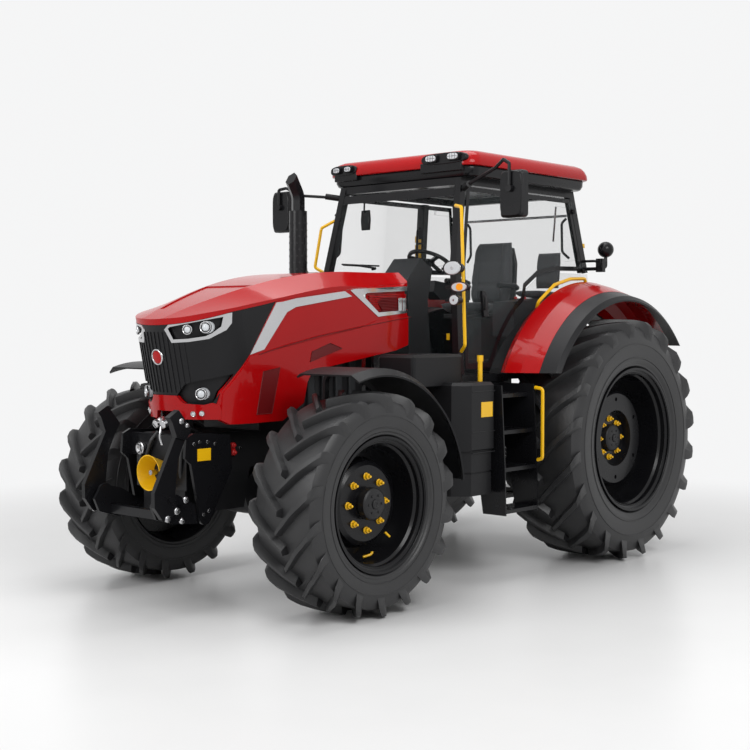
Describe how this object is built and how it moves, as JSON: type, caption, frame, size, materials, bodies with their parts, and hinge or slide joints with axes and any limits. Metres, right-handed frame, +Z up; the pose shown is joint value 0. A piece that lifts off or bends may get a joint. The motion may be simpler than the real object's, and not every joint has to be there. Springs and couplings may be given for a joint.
{
  "type": "farm tractor",
  "caption": "Four-wheel-drive farm tractor with a glazed cab, steered front axle, opening hood and doors, and folding front and rear linkages.",
  "frame": {"origin": "on the ground under the middle of the whole tractor", "axes": "+X ahead, +Y to the tractor's left, +Z up"},
  "size_m": [5.787, 2.9, 3.4247],
  "materials": {
    "red_paint": "gloss",
    "black_paint": "satin",
    "grey_iron": "matte",
    "yellow_paint": "gloss",
    "black_plastic": "matte",
    "tyre_rubber": "matte",
    "glass": "clear",
    "seat_fabric": "woven",
    "steel": "brushed",
    "grey_plastic": "matte",
    "silver_trim": "satin",
    "lamp_glass": "clear"
  },
  "bodies": {
    "chassis": {"front_frame": "grey_iron", "engine_block": "grey_iron", "front_axle": "grey_iron", "transmission": "grey_iron", "rear_axle": "grey_iron", "hood_hinge": "black_paint", "cab_lamps": "lamp_glass", "cab_frame": "black_paint", "cab_base": "black_paint", "rear_fenders": "red_paint", "fender_flares": "black_plastic", "arch_liners": "black_plastic", "fixed_glass": "glass", "roof_fascia": "black_plastic", "roof_shell": "red_paint", "operator_seat": "seat_fabric", "passenger_seat": "seat_fabric", "consoles": "grey_plastic", "exhaust": "black_paint", "mirrors": "black_plastic", "fuel_tank": "black_plastic", "right_locker": "black_plastic", "steps": "black_paint", "grab_rails": "yellow_paint", "front_linkage_frame": "black_paint", "front_pto_guard": "yellow_paint", "rear_hitch": "black_paint", "drawbar": "black_paint"},
    "hood": {"hood_shell": "red_paint", "nose_grille": "black_plastic", "side_panels": "red_paint", "bumper": "red_paint", "hood_trim": "silver_trim", "hood_lamps": "lamp_glass", "hood_meshes": "red_paint"},
    "knuckle_left": {"knuckle_left": "grey_iron", "front_fender_left": "black_plastic"},
    "knuckle_right": {"knuckle_right": "grey_iron", "front_fender_right": "black_plastic"},
    "steering_rod": {"steering_rod": "steel"},
    "steering_wheel": {"steering_wheel": "black_plastic"},
    "door_left": {"door_left": "glass"},
    "door_right": {"door_right": "glass"},
    "front_lift": {"front_lift_arms": "black_paint"},
    "front_link_left": {"front_link_left": "black_paint"},
    "front_link_right": {"front_link_right": "black_paint"},
    "front_pto": {"front_pto_shaft": "steel"},
    "rear_pto": {"rear_pto_shaft": "steel"},
    "rear_lower_links": {"rear_lower_links": "black_paint"},
    "rear_lift_arms": {"rear_lift_arms": "black_paint"},
    "rear_lift_rods": {"rear_lift_rods": "black_paint"},
    "top_link": {"top_link": "black_paint"},
    "wheel_front_left": {"tyre_front_left": "tyre_rubber", "rim_front_left": "black_paint"},
    "wheel_front_right": {"tyre_front_right": "tyre_rubber", "rim_front_right": "black_paint"},
    "wheel_rear_left": {"tyre_rear_left": "tyre_rubber", "rim_rear_left": "black_paint"},
    "wheel_rear_right": {"tyre_rear_right": "tyre_rubber", "rim_rear_right": "black_paint"}
  },
  "joints": [
    {"name": "steer_left", "type": "hinge", "parent": "chassis", "child": "knuckle_left", "pos_m": [1.68, 0.8, 0.775], "axis": [0, 0, 1], "range_deg": [-35, 35]},
    {"name": "steer_right", "type": "hinge", "parent": "chassis", "child": "knuckle_right", "pos_m": [1.68, -0.8, 0.775], "axis": [0, 0, 1], "range_deg": [-35, 35]},
    {"name": "wheel_front_left_spin", "type": "hinge", "parent": "knuckle_left", "child": "wheel_front_left", "pos_m": [1.68, 1.077, 0.775], "axis": [0, 1, 0], "continuous": true},
    {"name": "wheel_rear_left_spin", "type": "hinge", "parent": "chassis", "child": "wheel_rear_left", "pos_m": [-1.47, 1.095, 1.025], "axis": [0, 1, 0], "continuous": true},
    {"name": "wheel_front_right_spin", "type": "hinge", "parent": "knuckle_right", "child": "wheel_front_right", "pos_m": [1.68, -1.077, 0.775], "axis": [0, 1, 0], "continuous": true},
    {"name": "wheel_rear_right_spin", "type": "hinge", "parent": "chassis", "child": "wheel_rear_right", "pos_m": [-1.47, -1.095, 1.025], "axis": [0, 1, 0], "continuous": true},
    {"name": "steering_rod_slide", "type": "slide", "parent": "chassis", "child": "steering_rod", "axis": [0, 1, 0], "range_m": [-0.12, 0.12]},
    {"name": "steering_wheel_turn", "type": "hinge", "parent": "chassis", "child": "steering_wheel", "pos_m": [-0.44, 0, 2.54], "axis": [-0.4695, 0, 0.8829], "continuous": true},
    {"name": "hood_lift", "type": "hinge", "parent": "chassis", "child": "hood", "pos_m": [0.48, 0, 2.3], "axis": [0, -1, 0], "range_deg": [0, 50]},
    {"name": "door_left_swing", "type": "hinge", "parent": "chassis", "child": "door_left", "pos_m": [-1.705, 0.738, 2.5], "axis": [0.1717, -0.0883, 0.9812], "range_deg": [0, 75]},
    {"name": "door_right_swing", "type": "hinge", "parent": "chassis", "child": "door_right", "pos_m": [-1.705, -0.738, 2.5], "axis": [-0.1717, -0.0883, -0.9812], "range_deg": [0, 75]},
    {"name": "front_lift_swing", "type": "hinge", "parent": "chassis", "child": "front_lift", "pos_m": [2.418, 0, 0.679], "axis": [0, -1, 0], "range_deg": [-18, 22]},
    {"name": "front_link_left_fold", "type": "hinge", "parent": "front_lift", "child": "front_link_left", "pos_m": [2.766, 0.382, 0.837], "axis": [0, 1, 0], "range_deg": [0, 98]},
    {"name": "front_link_right_fold", "type": "hinge", "parent": "front_lift", "child": "front_link_right", "pos_m": [2.766, -0.382, 0.837], "axis": [0, 1, 0], "range_deg": [0, 98]},
    {"name": "front_pto_turn", "type": "hinge", "parent": "chassis", "child": "front_pto", "pos_m": [2.56, 0, 0.976], "axis": [1, 0, 0], "continuous": true},
    {"name": "rear_pto_turn", "type": "hinge", "parent": "chassis", "child": "rear_pto", "pos_m": [-1.8, 0, 0.86], "axis": [1, 0, 0], "continuous": true},
    {"name": "rear_links_lift", "type": "hinge", "parent": "chassis", "child": "rear_lower_links", "pos_m": [-1.8, 0, 0.64], "axis": [0, 1, 0], "range_deg": [-8, 32]},
    {"name": "rear_arms_lift", "type": "hinge", "parent": "chassis", "child": "rear_lift_arms", "pos_m": [-1.835, 0, 1.26], "axis": [0, 1, 0], "range_deg": [-14, 48]},
    {"name": "rear_rods_swing", "type": "hinge", "parent": "rear_lift_arms", "child": "rear_lift_rods", "pos_m": [-2.255, 0, 1.285], "axis": [0, 1, 0], "range_deg": [-48, 14]},
    {"name": "top_link_swing", "type": "hinge", "parent": "chassis", "child": "top_link", "pos_m": [-1.83, 0, 1.15], "axis": [0, 1, 0], "range_deg": [-20, 35]}
  ],
  "couplings": [
    {"joint": "steer_right", "follows": "steer_left", "ratio": 1},
    {"joint": "steering_rod_slide", "follows": "steer_left", "m_per_rad": -0.19},
    {"joint": "rear_arms_lift", "follows": "rear_links_lift", "ratio": 1.37},
    {"joint": "rear_rods_swing", "follows": "rear_links_lift", "ratio": -1.36}
  ]
}
